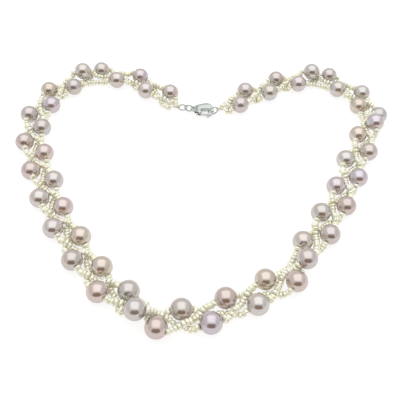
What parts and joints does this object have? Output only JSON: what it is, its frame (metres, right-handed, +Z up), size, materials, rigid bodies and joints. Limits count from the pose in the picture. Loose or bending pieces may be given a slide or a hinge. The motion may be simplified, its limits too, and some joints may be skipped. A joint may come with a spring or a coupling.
{
  "type": "pearl necklace",
  "caption": "Twisted three-strand pearl necklace with large and seed pearls, closed by a lobster clasp and jump rings, laid flat in a loop.",
  "frame": {"origin": "centre of the outline on the table surface, under the necklace", "axes": "+X across the loop to the wearer's side seen on the right, +Y towards the clasp, +Z up from the table"},
  "size_m": [0.1598, 0.148, 0.0099],
  "materials": {
    "seed_pearl": "cream nacre, soft lustre",
    "large_pearl": "mauve nacre, high lustre",
    "silver": "polished rhodium-plated silver",
    "spring_steel": "drawn wire",
    "silk": "twisted silk thread"
  },
  "bodies": {
    "braid_run_01": {"strand_a_run_01": "seed_pearl", "strand_b_run_01": "seed_pearl", "strand_c_run_01": "seed_pearl", "left_end_knot": "silk"},
    "braid_run_02": {"strand_a_run_02": "seed_pearl", "strand_b_run_02": "seed_pearl", "strand_c_run_02": "seed_pearl"},
    "braid_run_03": {"strand_a_run_03": "seed_pearl", "strand_b_run_03": "seed_pearl", "strand_c_run_03": "seed_pearl"},
    "braid_run_04": {"strand_a_run_04": "seed_pearl", "strand_b_run_04": "seed_pearl", "strand_c_run_04": "seed_pearl"},
    "braid_run_05": {"strand_a_run_05": "seed_pearl", "strand_b_run_05": "seed_pearl", "strand_c_run_05": "seed_pearl"},
    "braid_run_06": {"strand_a_run_06": "seed_pearl", "strand_b_run_06": "seed_pearl", "strand_c_run_06": "seed_pearl"},
    "braid_run_07": {"strand_a_run_07": "seed_pearl", "strand_b_run_07": "seed_pearl", "strand_c_run_07": "seed_pearl"},
    "braid_run_08": {"strand_a_run_08": "seed_pearl", "strand_b_run_08": "seed_pearl", "strand_c_run_08": "seed_pearl"},
    "braid_run_09": {"strand_a_run_09": "seed_pearl", "strand_b_run_09": "seed_pearl", "strand_c_run_09": "seed_pearl"},
    "braid_run_10": {"strand_a_run_10": "seed_pearl", "strand_b_run_10": "seed_pearl", "strand_c_run_10": "seed_pearl"},
    "braid_run_11": {"strand_a_run_11": "seed_pearl", "strand_b_run_11": "seed_pearl", "strand_c_run_11": "seed_pearl"},
    "braid_run_12": {"strand_a_run_12": "seed_pearl", "strand_b_run_12": "seed_pearl", "strand_c_run_12": "seed_pearl"},
    "braid_run_13": {"strand_a_run_13": "seed_pearl", "strand_b_run_13": "seed_pearl", "strand_c_run_13": "seed_pearl"},
    "braid_run_14": {"strand_a_run_14": "seed_pearl", "strand_b_run_14": "seed_pearl", "strand_c_run_14": "seed_pearl"},
    "braid_run_15": {"strand_a_run_15": "seed_pearl", "strand_b_run_15": "seed_pearl", "strand_c_run_15": "seed_pearl"},
    "braid_run_16": {"strand_a_run_16": "seed_pearl", "strand_b_run_16": "seed_pearl", "strand_c_run_16": "seed_pearl"},
    "braid_run_17": {"strand_a_run_17": "seed_pearl", "strand_b_run_17": "seed_pearl", "strand_c_run_17": "seed_pearl", "right_end_knot": "silk"},
    "left_ring": {"left_ring": "silver"},
    "link_ring": {"link_ring": "silver"},
    "right_ring": {"right_ring": "silver"},
    "claw": {"claw_body": "silver", "lever_pin": "silver", "lever_spring": "spring_steel"},
    "claw_lever": {"claw_lever": "silver"}
  },
  "joints": [
    {"name": "left_bend_1", "type": "hinge", "parent": "braid_run_09", "child": "braid_run_08", "pos_m": [-0.01205, -0.06742, 0.00375], "axis": [0, 0, 1], "range_deg": [0, 8]},
    {"name": "left_bend_2", "type": "hinge", "parent": "braid_run_08", "child": "braid_run_07", "pos_m": [-0.03106, -0.05733, 0.00375], "axis": [0, 0, 1], "range_deg": [0, 8]},
    {"name": "left_bend_3", "type": "hinge", "parent": "braid_run_07", "child": "braid_run_06", "pos_m": [-0.04563, -0.03901, 0.00375], "axis": [0, 0, 1], "range_deg": [0, 8]},
    {"name": "left_bend_4", "type": "hinge", "parent": "braid_run_06", "child": "braid_run_05", "pos_m": [-0.05799, -0.01759, 0.00375], "axis": [0, 0, 1], "range_deg": [0, 8]},
    {"name": "left_bend_5", "type": "hinge", "parent": "braid_run_05", "child": "braid_run_04", "pos_m": [-0.06728, 0.00526, 0.00375], "axis": [0, 0, 1], "range_deg": [0, 8]},
    {"name": "left_bend_6", "type": "hinge", "parent": "braid_run_04", "child": "braid_run_03", "pos_m": [-0.07291, 0.03065, 0.00375], "axis": [0, 0, 1], "range_deg": [0, 8]},
    {"name": "left_bend_7", "type": "hinge", "parent": "braid_run_03", "child": "braid_run_02", "pos_m": [-0.06541, 0.05555, 0.00375], "axis": [0, 0, 1], "range_deg": [0, 8]},
    {"name": "left_bend_8", "type": "hinge", "parent": "braid_run_02", "child": "braid_run_01", "pos_m": [-0.04472, 0.06688, 0.00375], "axis": [0, 0, 1], "range_deg": [0, 8]},
    {"name": "right_bend_1", "type": "hinge", "parent": "braid_run_09", "child": "braid_run_10", "pos_m": [0.01077, -0.06015, 0.00375], "axis": [0, 0, -1], "range_deg": [0, 8]},
    {"name": "right_bend_2", "type": "hinge", "parent": "braid_run_10", "child": "braid_run_11", "pos_m": [0.02992, -0.04611, 0.00375], "axis": [0, 0, -1], "range_deg": [0, 8]},
    {"name": "right_bend_3", "type": "hinge", "parent": "braid_run_11", "child": "braid_run_12", "pos_m": [0.04317, -0.02495, 0.00375], "axis": [0, 0, -1], "range_deg": [0, 8]},
    {"name": "right_bend_4", "type": "hinge", "parent": "braid_run_12", "child": "braid_run_13", "pos_m": [0.05502, -0.00278, 0.00375], "axis": [0, 0, -1], "range_deg": [0, 8]},
    {"name": "right_bend_5", "type": "hinge", "parent": "braid_run_13", "child": "braid_run_14", "pos_m": [0.06594, 0.0214, 0.00375], "axis": [0, 0, -1], "range_deg": [0, 8]},
    {"name": "right_bend_6", "type": "hinge", "parent": "braid_run_14", "child": "braid_run_15", "pos_m": [0.07257, 0.04462, 0.00375], "axis": [0, 0, -1], "range_deg": [0, 8]},
    {"name": "right_bend_7", "type": "hinge", "parent": "braid_run_15", "child": "braid_run_16", "pos_m": [0.06056, 0.0653, 0.00375], "axis": [0, 0, -1], "range_deg": [0, 8]},
    {"name": "right_bend_8", "type": "hinge", "parent": "braid_run_16", "child": "braid_run_17", "pos_m": [0.03849, 0.06544, 0.00375], "axis": [0, 0, -1], "range_deg": [0, 8]},
    {"name": "left_ring_turn", "type": "hinge", "parent": "braid_run_01", "child": "left_ring", "pos_m": [-0.01047, 0.0445, 0.00255], "axis": [0, 0, 1], "continuous": true},
    {"name": "link_ring_turn", "type": "hinge", "parent": "braid_run_01", "child": "link_ring", "pos_m": [-0.00761, 0.04402, 0.00255], "axis": [0.1594, 0.9527, 0.2588], "continuous": true},
    {"name": "claw_roll", "type": "hinge", "parent": "braid_run_01", "child": "claw", "pos_m": [-0.00573, 0.04371, 0.00255], "axis": [0.9639, -0.2649, -0.0274], "range_deg": [-20, 20]},
    {"name": "lever_open", "type": "hinge", "parent": "claw", "child": "claw_lever", "pos_m": [-0.00365, 0.04223, 0.00225], "axis": [-0.0427, -0.2553, 0.9659], "range_deg": [0, 18], "stiffness_Nm_per_rad": 0.003, "springref_deg": -17.19},
    {"name": "right_ring_turn", "type": "hinge", "parent": "braid_run_17", "child": "right_ring", "pos_m": [0.00318, 0.04249, 0.00262], "axis": [-0.3223, 0.9187, 0.2285], "continuous": true}
  ],
  "couplings": [
    {"joint": "left_bend_2", "follows": "left_bend_1", "ratio": 1},
    {"joint": "left_bend_3", "follows": "left_bend_1", "ratio": 1},
    {"joint": "left_bend_4", "follows": "left_bend_1", "ratio": 1},
    {"joint": "left_bend_5", "follows": "left_bend_1", "ratio": 1},
    {"joint": "left_bend_6", "follows": "left_bend_1", "ratio": 1},
    {"joint": "left_bend_7", "follows": "left_bend_1", "ratio": 1},
    {"joint": "left_bend_8", "follows": "left_bend_1", "ratio": 1},
    {"joint": "right_bend_2", "follows": "right_bend_1", "ratio": 1},
    {"joint": "right_bend_3", "follows": "right_bend_1", "ratio": 1},
    {"joint": "right_bend_4", "follows": "right_bend_1", "ratio": 1},
    {"joint": "right_bend_5", "follows": "right_bend_1", "ratio": 1},
    {"joint": "right_bend_6", "follows": "right_bend_1", "ratio": 1},
    {"joint": "right_bend_7", "follows": "right_bend_1", "ratio": 1},
    {"joint": "right_bend_8", "follows": "right_bend_1", "ratio": 1}
  ]
}
